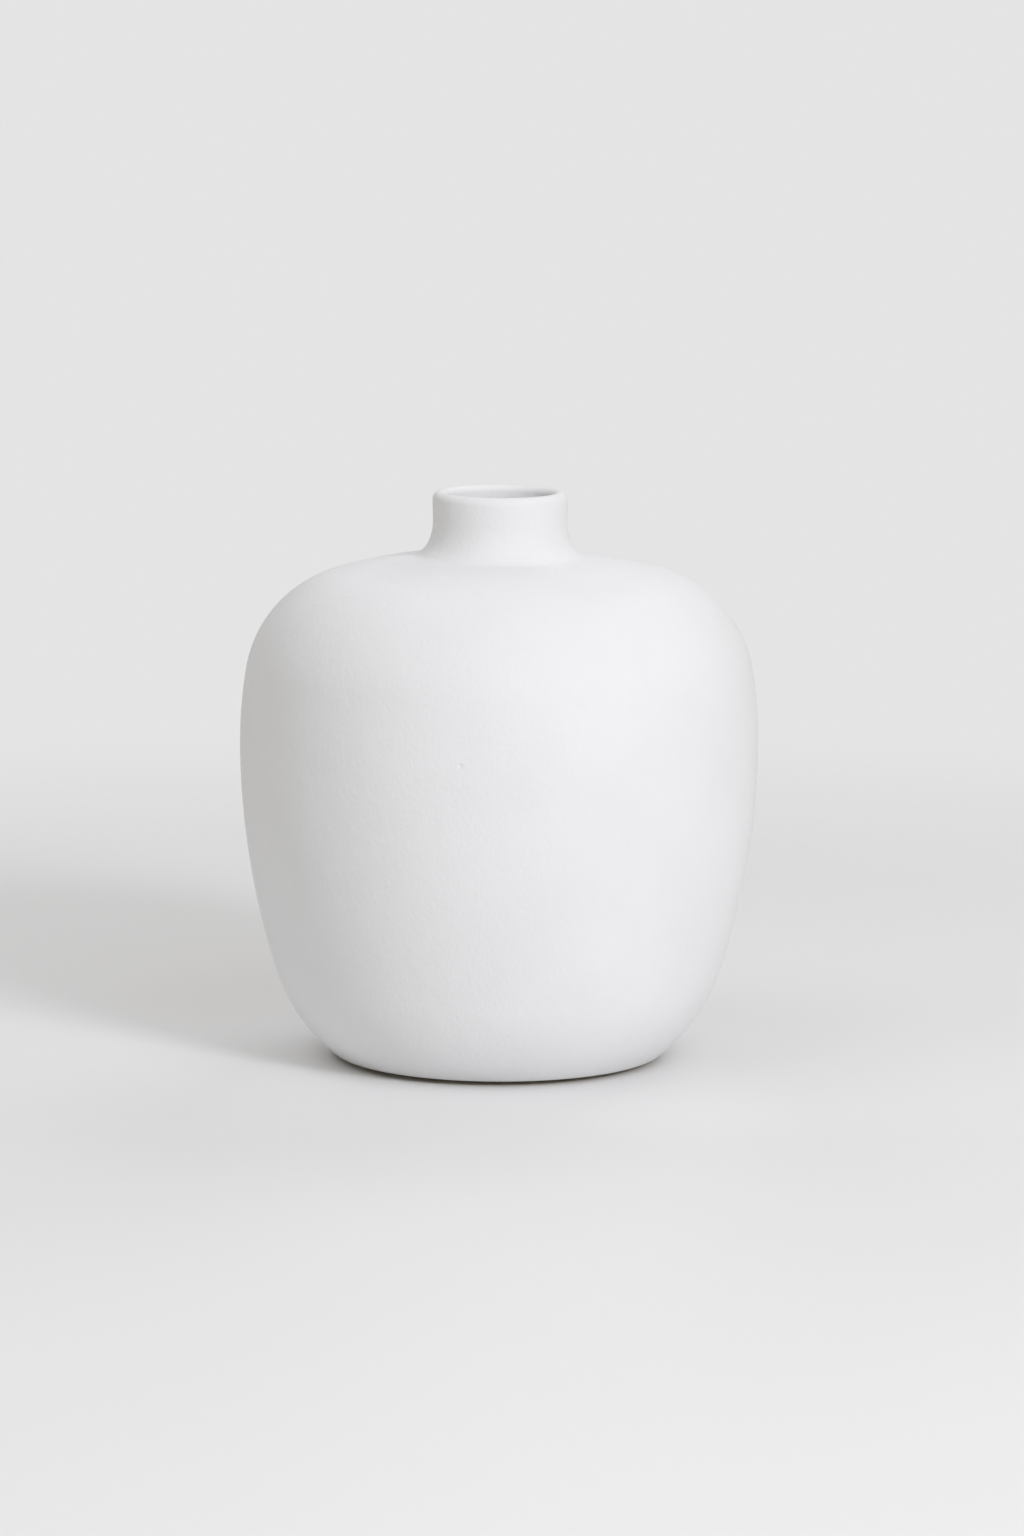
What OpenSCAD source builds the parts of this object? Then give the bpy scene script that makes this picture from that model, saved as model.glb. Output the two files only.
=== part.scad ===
// Ceramic bud vase: a squat round body with a broad shoulder and a short neck.
// A fired stoneware body carries a matt white glaze outside and a lining glaze inside,
// and stands on four felt pads stuck to its bare foot ring.
// The origin is on the axis of the vase, on the surface that it stands on. +Z is up.

/* [Body] */
// Height from the table to the top of the lip
total_h = 150.5; // [146:0.5:156]
// Radius at the belly
belly_r = 68.4; // [66:0.1:72]
// Height of the belly above the table
belly_z = 84.5; // [82:0.5:86]
// Radius of the long curve below the belly
side_curve_r = 202; // [180:1:240]
// Radius of the tighter curve at the foot of the side
foot_curve_r = 44.6; // [42:0.1:46]
// Height above the table where the side curve meets the foot curve
foot_join_z = 23.2; // [20:0.1:25]
// Radius of the rounded lower edge
edge_r = 0.8; // [0.5:0.1:1.2]

/* [Shoulder] */
// Radius of the long curve above the belly
upper_curve_r = 115; // [100:1:130]
// Turn of the upper curve before the shoulder starts, in degrees
upper_turn = 9.6; // [8:0.1:12]
// Radius of the round shoulder
shoulder_r = 32; // [30:0.1:34]
// Slope turned through at the end of the round shoulder, in degrees
shoulder_turn = 75.2; // [74:0.1:77]
// Radius of the nearly flat top of the shoulder
top_curve_r = 171; // [160:1:180]

/* [Neck] */
// Radius at which the shoulder starts to sweep up into the neck
root_r = 23.3; // [22:0.1:26]
// Pull of the sweep along the shoulder
root_pull = 2.8; // [2:0.1:5]
// Pull of the sweep up the neck
waist_pull = 5.5; // [4:0.1:6]
// Radius at the waist of the neck
waist_r = 17.7; // [17:0.05:18.5]
// Depth of the waist below the top of the lip
waist_depth = 7.7; // [7:0.1:9]
// Radius of the outside of the lip
lip_r = 17.8; // [17.5:0.05:19]
// Rounding of the outside of the lip
lip_round_out = 2; // [1.5:0.1:2.2]
// Radius of the straight throat
throat_r = 14; // [13.5:0.1:14.5]
// Rounding at the bottom of the throat
throat_round = 5; // [4:0.5:6]

/* [Walls] */
// Wall thickness from finished face to finished face
wall_t = 4; // [3.5:0.1:5]
// Height of the inside floor above the table
floor_z = 8.5; // [7:0.5:10]
// Rounding between the inside floor and the wall
floor_round = 14; // [10:0.5:18]
// Thickness of the fired glaze coats
glaze_t = 0.35; // [0.2:0.05:0.5]

/* [Foot] */
// Inner radius of the bare foot ring
ring_in_r = 24; // [22:0.5:25]
// Depth of the hollow inside the foot ring
ring_depth = 2; // [1.8:0.1:2.5]
// Rounding of the edges of that hollow
ring_round = 0.8; // [0.5:0.1:0.9]

/* [Pads] */
// Radius of a felt pad
pad_r = 6; // [5:0.25:6.5]
// Thickness of the felt
felt_t = 1.2; // [0.8:0.05:1.5]
// Radius of the adhesive film
film_r = 5.8; // [4.8:0.1:6.3]
// Thickness of the adhesive film
film_t = 0.15; // [0.1:0.05:0.3]
// Distance of each pad's centre from the axis
pad_ring_r = 32; // [31:0.5:33]

/* [Hidden] */
$fn = 128;

pad_count = 4;
// First pad's direction, between the front and the side
pad_start = 45;
// Height of the foot ring above the table
gap = felt_t + film_t;

// Straight steps along a small, a middle and a long curve
small_steps = 8;
middle_steps = 18;
long_steps = 24;

// A point at distance r and angle a from centre c
function polar(c, r, a) = c + r * [cos(a), sin(a)];

// Points along an arc, without its first point
function arc(c, r, a0, a1, steps) =
    [for (i = [1 : steps]) polar(c, r, a0 + (a1 - a0) * i / steps)];

// Centres of the tangent arcs of the outside, from the foot up to the shoulder
side_c = [belly_r - side_curve_r, belly_z];
side_turn = asin((belly_z - foot_join_z) / side_curve_r);
foot_c = polar(side_c, side_curve_r - foot_curve_r, -side_turn);
edge_turn = asin((foot_c[1] - gap - edge_r) / (foot_curve_r - edge_r));
edge_c = polar(foot_c, foot_curve_r - edge_r, -edge_turn);
upper_c = [belly_r - upper_curve_r, belly_z];
shoulder_c = polar(upper_c, upper_curve_r - shoulder_r, upper_turn);
top_c = polar(shoulder_c, shoulder_r - top_curve_r, shoulder_turn);
root_turn = acos((root_r - top_c[0]) / top_curve_r);

// The sweep from the shoulder into the neck, as a four-point curve
root_p = polar(top_c, top_curve_r, root_turn);
waist_p = [waist_r, total_h - waist_depth];
root_curve = [root_p, root_p + root_pull * [-sin(root_turn), cos(root_turn)],
    waist_p - [0, waist_pull], waist_p];

// The slight swell from the waist out to the lip
lip_pull = 1.5;
lip_c = [lip_r - lip_round_out, total_h - lip_round_out];
lip_p = lip_c + [lip_round_out, 0];
neck_curve = [waist_p, waist_p + [0, lip_pull], lip_p - [0, lip_pull], lip_p];

// The inside of the lip and the straight throat
lip_round_in = lip_c[0] - throat_r;
lip_in_c = [lip_c[0], total_h - lip_round_in];
throat_c = [throat_r + throat_round,
    top_c[1] + sqrt(pow(top_curve_r - wall_t + throat_round, 2)
        - pow(throat_r + throat_round - top_c[0], 2))];
throat_turn = atan2(throat_c[1] - top_c[1], throat_c[0] - top_c[0]);

// The rounding between the inside floor and the inside of the foot curve
floor_reach = foot_curve_r - wall_t - floor_round;
floor_turn = asin((foot_c[1] - floor_z - floor_round) / floor_reach);
floor_c = polar(foot_c, floor_reach, -floor_turn);

// A point on a four-point curve, and the direction of the curve there
function curve_point(p, t) = pow(1 - t, 3) * p[0] + 3 * t * pow(1 - t, 2) * p[1]
    + 3 * t * t * (1 - t) * p[2] + pow(t, 3) * p[3];
function curve_slope(p, t) = pow(1 - t, 2) * (p[1] - p[0]) + 2 * t * (1 - t) * (p[2] - p[1])
    + t * t * (p[3] - p[2]);

// Points along such a curve, d under its surface, without its first point
function curve(p, d, steps) =
    [for (i = [1 : steps])
        let (t = i / steps, s = curve_slope(p, t))
        curve_point(p, t) + d * [-s[1], s[0]] / norm(s)];

// The outside at depth d: from under the lower edge, over the lip, to the foot of the throat
function outside(d) = concat(
    [edge_c - [0, edge_r - d]],
    arc(edge_c, edge_r - d, -90, -edge_turn, small_steps),
    arc(foot_c, foot_curve_r - d, -edge_turn, -side_turn, middle_steps),
    arc(side_c, side_curve_r - d, -side_turn, 0, long_steps),
    arc(upper_c, upper_curve_r - d, 0, upper_turn, small_steps),
    arc(shoulder_c, shoulder_r - d, upper_turn, shoulder_turn, long_steps),
    arc(top_c, top_curve_r - d, shoulder_turn, root_turn, small_steps),
    curve(root_curve, d, middle_steps),
    curve(neck_curve, d, small_steps),
    arc(lip_c, lip_round_out - d, 0, 90, small_steps),
    arc(lip_in_c, lip_round_in - d, 90, 180, small_steps),
    [[throat_r + d, throat_c[1]]]);

// The inside at depth d: from the foot of the throat to the middle of the floor
function inside(d) = concat(
    [[throat_r + d, throat_c[1]]],
    arc(throat_c, throat_round - d, 180, 180 + throat_turn, small_steps),
    arc(top_c, top_curve_r - wall_t + d, throat_turn, shoulder_turn, small_steps),
    arc(shoulder_c, shoulder_r - wall_t + d, shoulder_turn, upper_turn, long_steps),
    arc(upper_c, upper_curve_r - wall_t + d, upper_turn, 0, small_steps),
    arc(side_c, side_curve_r - wall_t + d, 0, -side_turn, long_steps),
    arc(foot_c, foot_curve_r - wall_t + d, -side_turn, -floor_turn, middle_steps),
    arc(floor_c, floor_round + d, -floor_turn, -90, middle_steps),
    [[0, floor_z - d]]);

// The bare underside: the hollow and the foot ring, from the axis out to the glaze
function underside() = concat(
    [[0, gap + ring_depth], [ring_in_r - ring_round, gap + ring_depth]],
    arc([ring_in_r - ring_round, gap + ring_depth - ring_round], ring_round, 90, 0, small_steps),
    [[ring_in_r, gap + ring_round]],
    arc([ring_in_r + ring_round, gap + ring_round], ring_round, 180, 270, small_steps),
    [[edge_c[0], gap]]);

function reversed(p) = [for (i = [len(p) - 1 : -1 : 0]) p[i]];

function tail(p) = [for (i = [1 : len(p) - 1]) p[i]];

// Fired stoneware body with its neck
module clay_body() {
    color("antiquewhite")
        rotate_extrude()
            polygon(concat(underside(), outside(glaze_t), tail(inside(glaze_t))));
}

// Matt white coat on the outside, over the lip and down the throat
module outer_glaze() {
    color("white")
        rotate_extrude()
            polygon(concat(outside(0), reversed(outside(glaze_t))));
}

// Waterproof coat on the inside
module inner_glaze() {
    color("ivory")
        rotate_extrude()
            polygon(concat(inside(0), reversed(inside(glaze_t))));
}

// Places what follows over pad number i
module at_pad(i) {
    rotate(pad_start + i * 360 / pad_count)
        translate([pad_ring_r, 0, 0])
            children();
}

// Round felt pad that the vase stands on
module felt_pad(i) {
    color("dimgray")
        at_pad(i)
            cylinder(r = pad_r, h = felt_t);
}

// Adhesive film between a pad and the foot ring
module pad_adhesive(i) {
    color("gainsboro")
        at_pad(i)
            translate([0, 0, felt_t])
                cylinder(r = film_r, h = film_t);
}

clay_body();
outer_glaze();
inner_glaze();
felt_pad(0);  // felt_pad_1
felt_pad(1);  // felt_pad_2
felt_pad(2);  // felt_pad_3
felt_pad(3);  // felt_pad_4
pad_adhesive(0);  // pad_adhesive_1
pad_adhesive(1);  // pad_adhesive_2
pad_adhesive(2);  // pad_adhesive_3
pad_adhesive(3);  // pad_adhesive_4
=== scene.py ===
"""Looks of the ceramic bud vase: a turned stoneware body under matt white glaze, on felt pads."""
import math

import bpy
from mathutils import Matrix, Vector


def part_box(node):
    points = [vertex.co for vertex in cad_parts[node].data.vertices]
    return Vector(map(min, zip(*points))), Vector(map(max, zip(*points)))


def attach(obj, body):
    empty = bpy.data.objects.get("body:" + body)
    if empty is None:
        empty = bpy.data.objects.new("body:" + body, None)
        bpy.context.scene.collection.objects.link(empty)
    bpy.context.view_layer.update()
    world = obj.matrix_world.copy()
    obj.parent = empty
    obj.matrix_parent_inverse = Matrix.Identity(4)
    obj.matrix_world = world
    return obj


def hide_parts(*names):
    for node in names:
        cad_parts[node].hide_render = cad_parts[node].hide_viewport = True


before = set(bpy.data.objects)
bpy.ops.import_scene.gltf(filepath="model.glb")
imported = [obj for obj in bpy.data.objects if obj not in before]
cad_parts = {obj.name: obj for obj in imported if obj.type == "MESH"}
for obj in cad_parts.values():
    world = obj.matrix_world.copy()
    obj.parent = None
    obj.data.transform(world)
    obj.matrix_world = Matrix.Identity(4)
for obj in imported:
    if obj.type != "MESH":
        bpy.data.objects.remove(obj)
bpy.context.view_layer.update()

# ---------------------------------------------------------------- sizes, in metres

MM = 0.001

glaze_low, glaze_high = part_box("outer_glaze")
pad_low, pad_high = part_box("felt_pad_1")

TOTAL_H = glaze_high.z
BELLY_R = glaze_high.x
GAP = glaze_low.z
FELT_T = pad_high.z
PAD_R = (pad_high.x - pad_low.x) / 2
PAD_RING_R = (pad_low + pad_high).xy.length / 2

BELLY_Z = 84.5 * MM
SIDE_CURVE_R = 202 * MM
FOOT_CURVE_R = 44.6 * MM
FOOT_JOIN_Z = 23.2 * MM
EDGE_R = 0.8 * MM
UPPER_CURVE_R = 115 * MM
UPPER_TURN = math.radians(9.6)
SHOULDER_R = 32 * MM
SHOULDER_TURN = math.radians(75.2)
TOP_CURVE_R = 171 * MM
ROOT_R = 23.3 * MM
ROOT_PULL = 2.8 * MM
WAIST_PULL = 5.5 * MM
WAIST_R = 17.7 * MM
WAIST_DEPTH = 7.7 * MM
LIP_R = 17.8 * MM
LIP_PULL = 1.5 * MM
LIP_ROUND = 2 * MM
THROAT_R = 14 * MM
THROAT_ROUND = 5 * MM
WALL_T = 4 * MM
FLOOR_Z = 8.5 * MM
FLOOR_ROUND = 14 * MM
GLAZE_T = 0.35 * MM
RING_IN_R = 24 * MM
RING_DEPTH = 2 * MM
RING_ROUND = 0.8 * MM

# Spacing of the points along an outline, and steps round the axis
STEP = 1.3 * MM
SMALL_STEP = 0.4 * MM
TURN_STEPS = 256
WELD = 0.002 * MM

RIGHT_ANGLE = math.pi / 2


# ---------------------------------------------------------------- outlines, as (radius, height)

def polar(centre, radius, angle):
    """The point at this distance and angle from a centre."""
    return centre + radius * Vector((math.cos(angle), math.sin(angle)))


def arc(centre, radius, start, end, step=STEP):
    """Points along an arc, without its first one, about a step apart."""
    count = max(3, round(abs(end - start) * radius / step))
    return [polar(centre, radius, start + (end - start) * i / count) for i in range(1, count + 1)]


def line(start, end, step=STEP):
    """Points along a straight stretch, without its first one."""
    count = max(1, round((end - start).length / step))
    return [start.lerp(end, i / count) for i in range(1, count + 1)]


def sweep(p, depth, step=STEP):
    """Points along a four-point curve, this deep under its surface, without its first one."""
    count = max(4, round((p[3] - p[0]).length / step))
    points = []
    for i in range(1, count + 1):
        t = i / count
        s = 1 - t
        on = s ** 3 * p[0] + 3 * t * s * s * p[1] + 3 * t * t * s * p[2] + t ** 3 * p[3]
        along = s * s * (p[1] - p[0]) + 2 * t * s * (p[2] - p[1]) + t * t * (p[3] - p[2])
        points.append(on + depth * Vector((-along.y, along.x)).normalized())
    return points


# Centres of the tangent arcs, from the lower edge up to the neck
side_c = Vector((BELLY_R - SIDE_CURVE_R, BELLY_Z))
side_turn = math.asin((BELLY_Z - FOOT_JOIN_Z) / SIDE_CURVE_R)
foot_c = polar(side_c, SIDE_CURVE_R - FOOT_CURVE_R, -side_turn)
edge_turn = math.asin((foot_c.y - GAP - EDGE_R) / (FOOT_CURVE_R - EDGE_R))
edge_c = polar(foot_c, FOOT_CURVE_R - EDGE_R, -edge_turn)
upper_c = Vector((BELLY_R - UPPER_CURVE_R, BELLY_Z))
shoulder_c = polar(upper_c, UPPER_CURVE_R - SHOULDER_R, UPPER_TURN)
top_c = polar(shoulder_c, SHOULDER_R - TOP_CURVE_R, SHOULDER_TURN)

# The sweep into the neck, the lip and the throat
root_turn = math.acos((ROOT_R - top_c.x) / TOP_CURVE_R)
root = polar(top_c, TOP_CURVE_R, root_turn)
root_along = Vector((-math.sin(root_turn), math.cos(root_turn)))
waist = Vector((WAIST_R, TOTAL_H - WAIST_DEPTH))
lip_c = Vector((LIP_R - LIP_ROUND, TOTAL_H - LIP_ROUND))
lip_side = Vector((LIP_R, lip_c.y))
up = Vector((0, 1))
neck_sweep = [root, root + ROOT_PULL * root_along, waist - WAIST_PULL * up, waist]
lip_sweep = [waist, waist + LIP_PULL * up, lip_side - LIP_PULL * up, lip_side]
lip_inner_r = lip_c.x - THROAT_R
lip_inner_c = Vector((lip_c.x, TOTAL_H - lip_inner_r))
ceiling_r = TOP_CURVE_R - WALL_T
throat_x = THROAT_R + THROAT_ROUND
throat_rise = math.sqrt((ceiling_r + THROAT_ROUND) ** 2 - (throat_x - top_c.x) ** 2)
throat_c = Vector((throat_x, top_c.y + throat_rise))
throat_turn = math.atan2(throat_rise, throat_x - top_c.x)

# The rounding of the inside floor
floor_reach = FOOT_CURVE_R - WALL_T - FLOOR_ROUND
floor_turn = math.asin((foot_c.y - FLOOR_Z - FLOOR_ROUND) / floor_reach)
floor_c = polar(foot_c, floor_reach, -floor_turn)


def outside(depth):
    """The outside face at this depth, from under the lower edge to the foot of the throat."""
    points = [edge_c - (EDGE_R - depth) * up]
    points += arc(edge_c, EDGE_R - depth, -RIGHT_ANGLE, -edge_turn, SMALL_STEP / 2)
    points += arc(foot_c, FOOT_CURVE_R - depth, -edge_turn, -side_turn)
    points += arc(side_c, SIDE_CURVE_R - depth, -side_turn, 0)
    points += arc(upper_c, UPPER_CURVE_R - depth, 0, UPPER_TURN)
    points += arc(shoulder_c, SHOULDER_R - depth, UPPER_TURN, SHOULDER_TURN)
    points += arc(top_c, TOP_CURVE_R - depth, SHOULDER_TURN, root_turn)
    points += sweep(neck_sweep, depth, STEP / 2)
    points += sweep(lip_sweep, depth)
    points += arc(lip_c, LIP_ROUND - depth, 0, RIGHT_ANGLE, SMALL_STEP)
    points += arc(lip_inner_c, lip_inner_r - depth, RIGHT_ANGLE, math.pi, SMALL_STEP)
    points += line(points[-1], Vector((THROAT_R + depth, throat_c.y)))
    return points


def inside(depth):
    """The inside face at this depth, from the foot of the throat to the middle of the floor."""
    points = [Vector((THROAT_R + depth, throat_c.y))]
    points += arc(throat_c, THROAT_ROUND - depth, math.pi, math.pi + throat_turn)
    points += arc(top_c, ceiling_r + depth, throat_turn, SHOULDER_TURN)
    points += arc(shoulder_c, SHOULDER_R - WALL_T + depth, SHOULDER_TURN, UPPER_TURN)
    points += arc(upper_c, UPPER_CURVE_R - WALL_T + depth, UPPER_TURN, 0)
    points += arc(side_c, SIDE_CURVE_R - WALL_T + depth, 0, -side_turn)
    points += arc(foot_c, FOOT_CURVE_R - WALL_T + depth, -side_turn, -floor_turn)
    points += arc(floor_c, FLOOR_ROUND + depth, -floor_turn, -RIGHT_ANGLE)
    points += line(points[-1], Vector((0, FLOOR_Z - depth)), 3 * STEP)
    return points


def underside():
    """The bare hollow and foot ring, from the axis out to the glaze."""
    hollow_z = GAP + RING_DEPTH
    points = [Vector((0, hollow_z))]
    points += line(points[-1], Vector((RING_IN_R - RING_ROUND, hollow_z)))
    points += arc(points[-1] - RING_ROUND * up, RING_ROUND, RIGHT_ANGLE, 0, SMALL_STEP)
    ring_c = Vector((RING_IN_R + RING_ROUND, GAP + RING_ROUND))
    points += line(points[-1], Vector((RING_IN_R, ring_c.y)))
    points += arc(ring_c, RING_ROUND, math.pi, math.pi + RIGHT_ANGLE, SMALL_STEP)
    points += line(points[-1], Vector((edge_c.x, GAP)))
    return points


# ---------------------------------------------------------------- shaping tools

def deselect_all():
    """Nothing is selected and no object is in edit mode."""
    if bpy.context.object and bpy.context.object.mode == "EDIT":
        bpy.ops.object.mode_set(mode="OBJECT")
    bpy.ops.object.select_all(action="DESELECT")


def finished(name):
    """Leaves edit mode, puts the piece's place into its mesh and names it."""
    bpy.ops.object.mode_set(mode="OBJECT")
    bpy.ops.object.transform_apply(location=True, rotation=True, scale=True)
    piece = bpy.context.object
    piece.name = name
    piece.data.name = name
    return piece


def turned(name, outline):
    """A piece turned on the axis: its outline is drawn point by point and spun once round."""
    deselect_all()
    bpy.ops.mesh.primitive_plane_add(size=MM, location=(0, 0, 0))
    bpy.ops.object.mode_set(mode="EDIT")
    bpy.ops.mesh.select_all(action="SELECT")
    bpy.ops.mesh.merge(type="CENTER")
    here = Vector((0, 0))
    for i, point in enumerate(outline):
        move = (point.x - here.x, 0, point.y - here.y)
        if i == 0:
            bpy.ops.transform.translate(value=move)
        else:
            bpy.ops.mesh.extrude_vertices_move(TRANSFORM_OT_translate={"value": move})
        here = point
    bpy.ops.mesh.select_all(action="SELECT")
    bpy.ops.mesh.spin(steps=TURN_STEPS, angle=math.tau, center=(0, 0, 0), axis=(0, 0, 1))
    bpy.ops.mesh.select_all(action="SELECT")
    bpy.ops.mesh.remove_doubles(threshold=WELD)
    bpy.ops.mesh.normals_make_consistent(inside=False)
    piece = finished(name)
    bpy.ops.object.shade_smooth_by_angle(angle=math.radians(40))
    return piece


def wander(piece, group, depth, size):
    """A vertex group wanders inwards by up to this depth, in soft patches of this size."""
    clouds = bpy.data.textures.new(piece.name + "_wander", "CLOUDS")
    clouds.noise_scale = size
    clouds.noise_depth = 1
    displace = piece.modifiers.new("wander", "DISPLACE")
    displace.texture = clouds
    displace.texture_coords = "LOCAL"
    displace.vertex_group = group
    displace.mid_level = 1
    displace.strength = depth
    bpy.context.view_layer.objects.active = piece
    bpy.ops.object.modifier_apply(modifier="wander")
    return piece


def group_where(piece, name, test):
    """A vertex group of the points whose place passes the test."""
    group = piece.vertex_groups.new(name=name)
    group.add([v.index for v in piece.data.vertices if test(v.co)], 1, "REPLACE")
    return group


# ---------------------------------------------------------------- material tools

class Nodes:
    """A new material, with short calls for the nodes that it needs."""

    def __init__(self, name):
        self.material = bpy.data.materials.new(name)
        self.material.use_nodes = True
        self.tree = self.material.node_tree
        self.shader = self.tree.nodes["Principled BSDF"]

    def add(self, kind, **values):
        """A node; its values are set by input name."""
        node = self.tree.nodes.new(kind)
        for key, value in values.items():
            node.inputs[key.replace("_", " ")].default_value = value
        return node

    def link(self, source, target):
        """A link from an output to an input."""
        self.tree.links.new(source, target)

    def place(self, stretch=(1, 1, 1)):
        """Object coordinates, stretched."""
        where = self.add("ShaderNodeTexCoord")
        mapping = self.add("ShaderNodeMapping", Scale=stretch)
        self.link(where.outputs["Object"], mapping.inputs["Vector"])
        return mapping.outputs["Vector"]

    def noise(self, size, detail=2, roughness=0.5, stretch=(1, 1, 1)):
        """Soft noise whose patches have this size, in metres."""
        node = self.add("ShaderNodeTexNoise", Scale=1 / size, Detail=detail, Roughness=roughness)
        self.link(self.place(stretch), node.inputs["Vector"])
        return node.outputs["Fac"]

    def spots(self, spacing, radius):
        """1 in sparse round spots of this radius, 0 elsewhere."""
        node = self.add("ShaderNodeTexVoronoi", Scale=1 / spacing)
        self.link(self.place(), node.inputs["Vector"])
        return self.between(node.outputs["Distance"], radius / spacing, 0.4 * radius / spacing)

    def between(self, value, start, end, low=0, high=1, soft=False):
        """A value that goes from low to high as the input goes from start to end."""
        node = self.tree.nodes.new("ShaderNodeMapRange")
        node.interpolation_type = "SMOOTHSTEP" if soft else "LINEAR"
        limits = {"From Min": start, "From Max": end, "To Min": low, "To Max": high}
        for key, number in limits.items():
            node.inputs[key].default_value = number
        self.link(value, node.inputs["Value"])
        return node.outputs["Result"]

    def mix(self, share, first, second):
        """A colour between two others."""
        node = self.tree.nodes.new("ShaderNodeMix")
        node.data_type = "RGBA"
        self.link(share, node.inputs["Factor"])
        for key, colour in ((6, first), (7, second)):
            if isinstance(colour, tuple):
                node.inputs[key].default_value = (*colour, 1)
            else:
                self.link(colour, node.inputs[key])
        return node.outputs[2]

    def bump(self, height, distance, strength=1, under=None):
        """Relief of this depth, in metres, over another relief."""
        node = self.add("ShaderNodeBump", Strength=strength, Distance=distance)
        self.link(height, node.inputs["Height"])
        if under:
            self.link(under, node.inputs["Normal"])
        return node.outputs["Normal"]

    def distance(self, middle):
        """The distance from a fixed point, in metres."""
        where = self.add("ShaderNodeTexCoord")
        away = self.add("ShaderNodeVectorMath")
        away.operation = "DISTANCE"
        away.inputs[1].default_value = middle
        self.link(where.outputs["Object"], away.inputs[0])
        return away.outputs["Value"]

    def height(self):
        """The height above the table, in metres."""
        where = self.add("ShaderNodeTexCoord")
        parts = self.add("ShaderNodeSeparateXYZ")
        self.link(where.outputs["Object"], parts.inputs["Vector"])
        return parts.outputs["Z"]

    def finish(self, colour, roughness, normal):
        """Links the last colour, roughness and relief to the shader."""
        self.link(colour, self.shader.inputs["Base Color"])
        self.link(roughness, self.shader.inputs["Roughness"])
        self.link(normal, self.shader.inputs["Normal"])
        return self.material


def dress(piece, material):
    """The piece wears this material and no other."""
    piece.data.materials.clear()
    piece.data.materials.append(material)
    return piece


# ---------------------------------------------------------------- materials

def matt_white_glaze():
    """A dry matt white glaze: grain, orange peel, pinholes with painted shade in them, one
    dimple, thinner on its edges.
    """
    n = Nodes("matt_white_glaze")
    white, shade, thin = (0.87, 0.87, 0.882), (0.85, 0.85, 0.862), (0.82, 0.81, 0.8)
    colour = n.mix(n.between(n.noise(28 * MM, 3), 0.35, 0.65), white, shade)
    height = n.height()
    at_lip = n.between(height, TOTAL_H - 0.9 * MM, TOTAL_H, 0, 0.25)
    colour = n.mix(at_lip, colour, thin)
    at_foot = n.between(height, GAP + 1.2 * MM, GAP, 0, 0.4)
    colour = n.mix(at_foot, colour, thin)
    pinholes_and_pit_shade = n.spots(7 * MM, 0.16 * MM)
    # The pinholes are darkened towards grey brown: painted shade in the pits, whose depth comes
    # from the bump below
    colour = n.mix(n.between(pinholes_and_pit_shade, 0, 1, 0, 0.35), colour, (0.5, 0.48, 0.45))
    roughness = n.between(n.noise(1.1 * MM, 3), 0.3, 0.7, 0.62, 0.8)
    relief = n.bump(n.noise(3.4 * MM, 1, stretch=(1, 1, 0.8)), 0.08 * MM)
    relief = n.bump(n.noise(1.05 * MM, 1, stretch=(1, 1, 0.7)), 0.085 * MM, under=relief)
    relief = n.bump(n.noise(0.5 * MM, 1, stretch=(1, 1, 0.8)), 0.015 * MM, under=relief)
    relief = n.bump(n.between(pinholes_and_pit_shade, 0, 1, 1, 0), 0.06 * MM, under=relief)
    dimple = n.distance((-9.7 * MM, -67.6 * MM, 87.9 * MM))
    relief = n.bump(n.between(dimple, 0, 1.1 * MM, soft=True), 0.16 * MM, under=relief)
    n.shader.inputs["Specular IOR Level"].default_value = 0.25
    return n.finish(colour, roughness, relief)


def satin_lining_glaze():
    """The smoother waterproof coat inside, with soft runs down the wall."""
    n = Nodes("satin_lining_glaze")
    runs = n.noise(9 * MM, 2, stretch=(1, 1, 0.25))
    colour = n.mix(n.between(runs, 0.35, 0.65), (0.85, 0.845, 0.82), (0.81, 0.8, 0.775))
    roughness = n.between(n.noise(4 * MM, 2), 0.3, 0.7, 0.22, 0.34)
    relief = n.bump(runs, 0.12 * MM)
    relief = n.bump(n.noise(2 * MM, 2), 0.02 * MM, under=relief)
    return n.finish(colour, roughness, relief)


def bare_stoneware():
    """Fired clay with no glaze: sandy grain, iron specks and a toasted tone."""
    n = Nodes("bare_stoneware")
    toast = n.between(n.noise(14 * MM, 4, 0.6), 0.35, 0.68)
    colour = n.mix(toast, (0.68, 0.61, 0.51), (0.58, 0.49, 0.385))
    specks = n.spots(2.6 * MM, 0.22 * MM)
    colour = n.mix(n.between(specks, 0, 1, 0, 0.7), colour, (0.2, 0.14, 0.1))
    grain = n.noise(0.4 * MM, 4, 0.7)
    colour = n.mix(n.between(grain, 0.3, 0.7, 0, 0.25), colour, (0.78, 0.73, 0.64))
    roughness = n.between(grain, 0.3, 0.7, 0.82, 0.95)
    relief = n.bump(n.noise(2.2 * MM, 3), 0.08 * MM)
    relief = n.bump(grain, 0.06 * MM, under=relief)
    return n.finish(colour, roughness, relief)


def charcoal_felt():
    """Pressed wool felt: crossing fibres of uneven grey."""
    n = Nodes("charcoal_felt")
    one_way = n.noise(0.28 * MM, 3, 0.6, stretch=(1, 0.18, 1))
    other_way = n.noise(0.28 * MM, 3, 0.6, stretch=(0.18, 1, 1))
    tone = n.mix(n.between(one_way, 0.35, 0.65), (0.018, 0.018, 0.02), (0.075, 0.075, 0.08))
    colour = n.mix(n.between(other_way, 0.4, 0.7), tone, (0.045, 0.044, 0.046))
    roughness = n.between(one_way, 0.3, 0.7, 0.9, 1)
    relief = n.bump(one_way, 0.15 * MM)
    relief = n.bump(other_way, 0.15 * MM, under=relief)
    n.shader.inputs["Sheen Weight"].default_value = 0.3
    n.shader.inputs["Sheen Roughness"].default_value = 0.5
    return n.finish(colour, roughness, relief)


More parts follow.
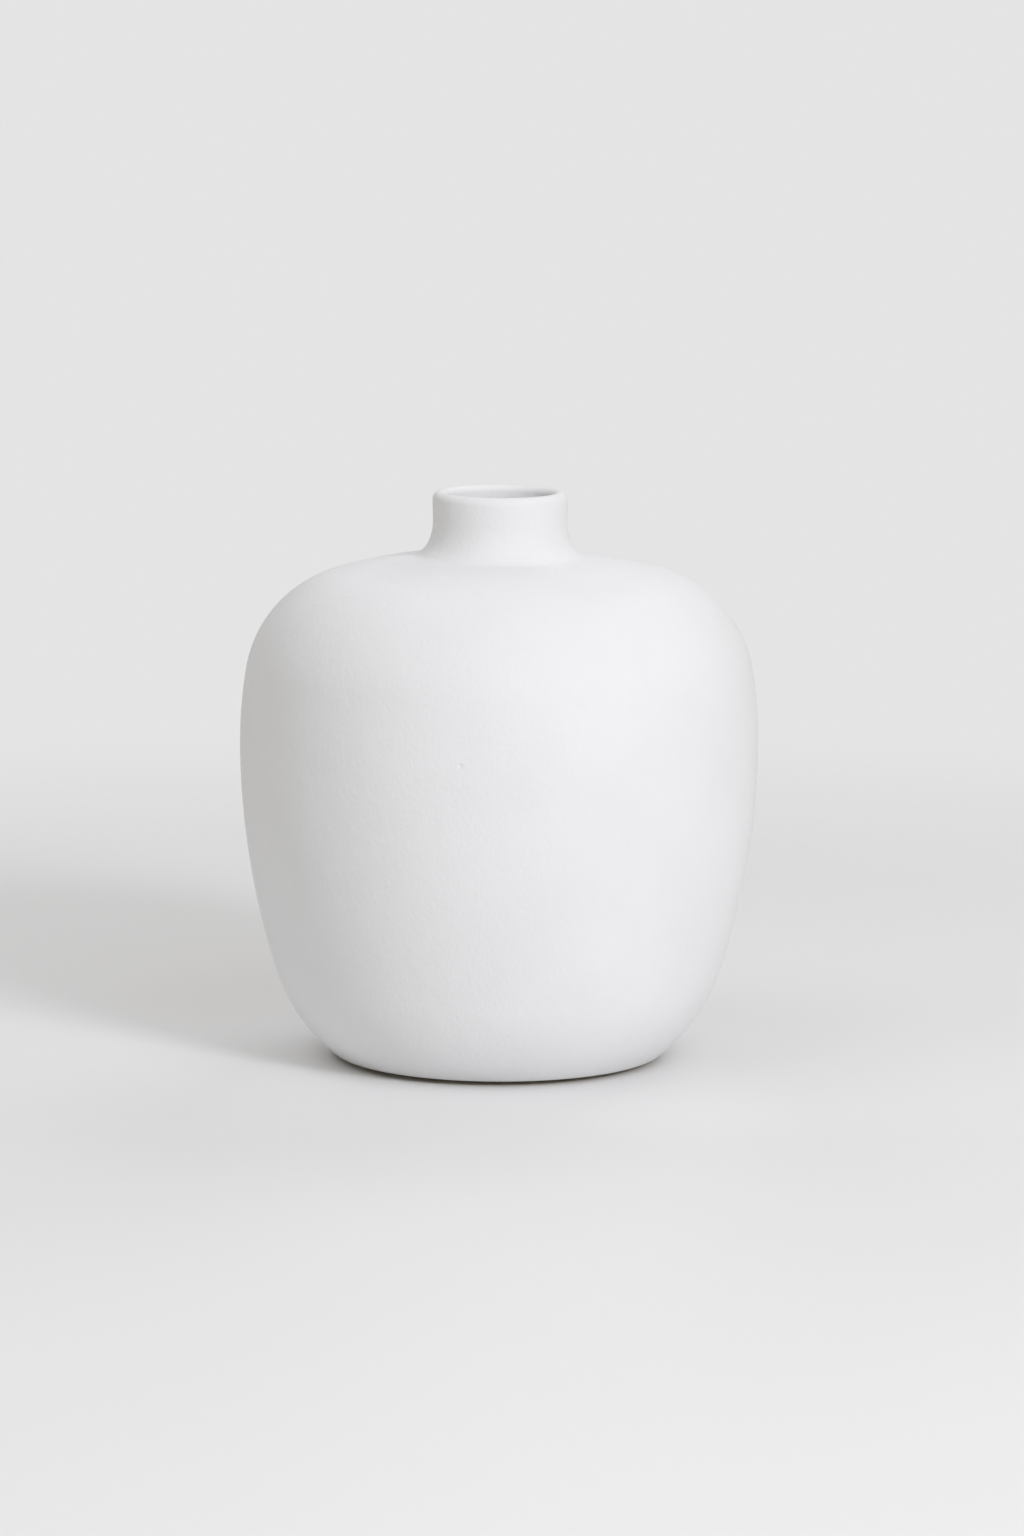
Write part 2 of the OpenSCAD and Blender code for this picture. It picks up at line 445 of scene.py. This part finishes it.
def acrylic_adhesive():
    """A thin cured film, faintly cloudy, with tiny trapped bubbles."""
    n = Nodes("acrylic_adhesive")
    cloud = n.noise(1.5 * MM, 3)
    colour = n.mix(n.between(cloud, 0.3, 0.7), (0.78, 0.77, 0.72), (0.68, 0.66, 0.6))
    bubbles = n.spots(0.9 * MM, 0.12 * MM)
    roughness = n.between(cloud, 0.3, 0.7, 0.35, 0.5)
    return n.finish(colour, roughness, n.bump(bubbles, 0.03 * MM))


def pale_floor(middle, solid, faded):
    """Matt studio paper, all but even in tone, that fades out between two distances."""
    n = Nodes("pale_floor")
    clouds = n.between(n.noise(350 * MM, 3), 0.3, 0.7)
    colour = n.mix(clouds, (0.858, 0.858, 0.858), (0.85, 0.85, 0.85))
    roughness = n.between(n.noise(4 * MM, 3), 0.3, 0.7, 0.5, 0.6)
    n.shader.inputs["Specular IOR Level"].default_value = 0.3
    fade = n.between(n.distance(middle), solid, faded, 1, 0, soft=True)
    n.link(fade, n.shader.inputs["Alpha"])
    return n.finish(colour, roughness, n.bump(n.noise(1.2 * MM, 2), 0.02 * MM))


# ---------------------------------------------------------------- pieces of the vase

def outer_coat():
    """The white coat, which wanders a little in thickness over the outside and the lip."""
    skin = outside(0)
    outline = skin + outside(GLAZE_T)[::-1]
    piece = turned("outer_coat", outline + outline[:1])
    skin_r = {round(p.y / MM, 3): p.x for p in skin}
    close = 0.01 * MM
    foot_top = 3 * MM

    def on_skin(place):
        """True on the outer face, above the foot, whose edge stays as it was turned."""
        radius = skin_r.get(round(place.z / MM, 3))
        if radius is None or place.z <= foot_top:
            return False
        return abs(place.xy.length - radius) < close

    group_where(piece, "skin", on_skin)
    wander(piece, "skin", 0.1 * MM, 34 * MM)
    dress(piece, matt_white_glaze())
    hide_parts("outer_glaze")
    return piece


def lining_coat():
    """The coat that holds the water."""
    outline = inside(0) + inside(GLAZE_T)[::-1]
    piece = turned("lining_coat", outline + outline[:1])
    dress(piece, satin_lining_glaze())
    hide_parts("inner_glaze")
    return piece


def stoneware_body():
    """The fired clay under both coats, bare on the foot ring and in its hollow."""
    outline = underside() + outside(GLAZE_T) + inside(GLAZE_T)[1:]
    piece = turned("stoneware_body", outline)
    dress(piece, bare_stoneware())
    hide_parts("clay_body")
    return piece


def felt_dot(number, felt):
    """One die-cut felt pad with softened edges."""
    low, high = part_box(f"felt_pad_{number}")
    middle = (low + high) / 2
    deselect_all()
    bpy.ops.mesh.primitive_cylinder_add(vertices=64, radius=PAD_R, depth=FELT_T, location=middle)
    bpy.ops.object.mode_set(mode="EDIT")
    bpy.ops.mesh.select_mode(type="EDGE")
    bpy.ops.mesh.select_all(action="DESELECT")
    bpy.ops.mesh.edges_select_sharp(sharpness=math.radians(60))
    bpy.ops.mesh.bevel(offset=0.18 * MM, segments=3, affect="EDGES")
    piece = finished(f"felt_dot_{number}")
    bpy.ops.object.shade_smooth_by_angle(angle=math.radians(60))
    dress(piece, felt)
    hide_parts(f"felt_pad_{number}")
    return piece


# ---------------------------------------------------------------- stage, light and camera

def studio_floor():
    """A round pale floor whose edge can't be made out."""
    radius, rim = 0.9, 0.2
    middle, solid, faded = (0, -0.12, 0), 0.36, 0.72
    deselect_all()
    bpy.ops.mesh.primitive_circle_add(
        vertices=96, radius=radius, fill_type="NGON", location=(0, 0, 0))
    bpy.ops.object.mode_set(mode="EDIT")
    bpy.ops.mesh.select_all(action="SELECT")
    bpy.ops.mesh.inset(thickness=rim)
    piece = finished("studio_floor")
    dress(piece, pale_floor(middle, solid, faded))
    return piece


def softbox(name, azimuth, elevation, distance, size, power, colour, aim=(0, 0, 0.07)):
    """A square soft light. Azimuth 0 is the camera's side and 90 is on the right."""
    lamp = bpy.data.lights.new(name, "AREA")
    lamp.shape = "RECTANGLE"
    lamp.size, lamp.size_y = size
    lamp.energy = power
    lamp.color = colour
    item = bpy.data.objects.new(name, lamp)
    bpy.context.scene.collection.objects.link(item)
    a, e = math.radians(azimuth), math.radians(elevation)
    away = Vector((math.sin(a) * math.cos(e), -math.cos(a) * math.cos(e), math.sin(e)))
    item.location = Vector(aim) + distance * away
    item.rotation_euler = away.to_track_quat("Z", "Y").to_euler()
    return item


def room_light(strength, colour, backdrop):
    """An even pale room all round: the light it gives, and its own tone where it is seen."""
    world = bpy.data.worlds.new("room")
    world.use_nodes = True
    tree = world.node_tree
    background = tree.nodes["Background"]
    background.inputs["Color"].default_value = (*colour, 1)
    background.inputs["Strength"].default_value = strength
    seen = tree.nodes.new("ShaderNodeBackground")
    seen.inputs["Color"].default_value = (*backdrop, 1)
    path = tree.nodes.new("ShaderNodeLightPath")
    mix = tree.nodes.new("ShaderNodeMixShader")
    tree.links.new(path.outputs["Is Camera Ray"], mix.inputs[0])
    tree.links.new(background.outputs[0], mix.inputs[1])
    tree.links.new(seen.outputs[0], mix.inputs[2])
    tree.links.new(mix.outputs[0], tree.nodes["World Output"].inputs["Surface"])
    bpy.context.scene.world = world


def studio_camera():
    """A long lens that looks a little down on the vase, from just right of its axis."""
    distance = 1717.5 * MM
    look_down = math.radians(8.93)
    lean = math.radians(0.267)
    aside = 3.43 * MM
    aim = Vector((aside, 0, 76.93 * MM))
    data = bpy.data.cameras.new("studio_camera")
    data.sensor_width = 36
    data.lens = 152.34
    data.clip_end = 50
    camera = bpy.data.objects.new("studio_camera", data)
    bpy.context.scene.collection.objects.link(camera)
    back = Vector((0, -math.cos(look_down), math.sin(look_down)))
    turn = back.to_track_quat("Z", "Y").to_matrix() @ Matrix.Rotation(lean, 3, "Z")
    camera.location = aim + distance * back
    camera.rotation_euler = turn.to_euler()
    bpy.context.scene.camera = camera
    return camera


# ---------------------------------------------------------------- the scene

pieces = [stoneware_body(), outer_coat(), lining_coat()]
felt = charcoal_felt()
pieces += [felt_dot(number, felt) for number in range(1, 5)]
for piece in pieces:
    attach(piece, "root")

adhesive = acrylic_adhesive()
for number in range(1, 5):
    dress(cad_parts[f"pad_adhesive_{number}"], adhesive)

studio_floor()
studio_camera()
softbox("key_light", 34, 26, 1.9, (0.4, 0.4), 14.8, (0.981, 0.986, 1.032))
softbox("high_front", 30, 50, 1.9, (1, 1), 4.6, (0.935, 0.967, 1.098))
softbox("high_left", -60, 60, 1.6, (1.2, 1.2), 4.8, (0.964, 0.977, 1.06))
softbox("right_rim", 150, 40, 1.9, (1.2, 1.2), 6.4, (0.976, 0.977, 1.047))
softbox("left_rim", -150, 40, 1.9, (1.2, 1.2), 4.2, (0.962, 0.959, 1.079))
room_light(0.33, (1.06, 1.03, 0.91), (0.777, 0.776, 0.778))
bpy.context.scene.view_settings.view_transform = "Standard"
